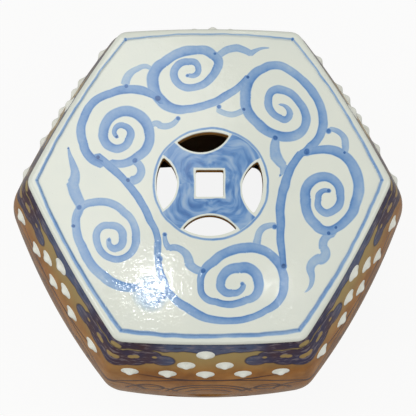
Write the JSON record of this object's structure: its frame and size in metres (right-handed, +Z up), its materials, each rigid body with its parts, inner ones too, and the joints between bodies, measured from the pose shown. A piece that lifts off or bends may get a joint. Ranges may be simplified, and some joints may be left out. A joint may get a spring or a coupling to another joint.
{
  "type": "garden stool",
  "caption": "Hollow ceramic garden stool: six-sided barrel with a flat pierced top, rows of raised studs, pierced coin hand holds and an open foot ring.",
  "frame": {"origin": "middle of the plane that the foot ring stands on", "axes": "+Z up, -Y towards the viewer of the picture (a pierced side), +X to the viewer's right (a corner)"},
  "size_m": [0.4308, 0.3828, 0.44],
  "materials": {
    "top_glaze": "glossy off-white glaze with brushed blue scroll painting under it",
    "wall_glaze": "glossy caramel-brown glaze with blue clouds at the corners and darker brown lines",
    "boss_glaze": "glossy off-white glaze",
    "foot": "glossy brown glaze, worn on the lower edge",
    "raw_clay": "unglazed, smoothed by hand"
  },
  "bodies": {
    "root": {"top_slab": "top_glaze", "foot_ring": "foot", "wall_front": "wall_glaze", "wall_front_right": "wall_glaze", "wall_back_right": "wall_glaze", "wall_back": "wall_glaze", "wall_back_left": "wall_glaze", "wall_front_left": "wall_glaze", "bosses_front": "boss_glaze", "bosses_front_right": "boss_glaze", "bosses_back_right": "boss_glaze", "bosses_back": "boss_glaze", "bosses_back_left": "boss_glaze", "bosses_front_left": "boss_glaze", "corner_coil_right": "raw_clay", "corner_coil_back_right": "raw_clay", "corner_coil_back_left": "raw_clay", "corner_coil_left": "raw_clay", "corner_coil_front_left": "raw_clay", "corner_coil_front_right": "raw_clay", "top_joint_coil": "raw_clay"}
  },
  "joints": []
}
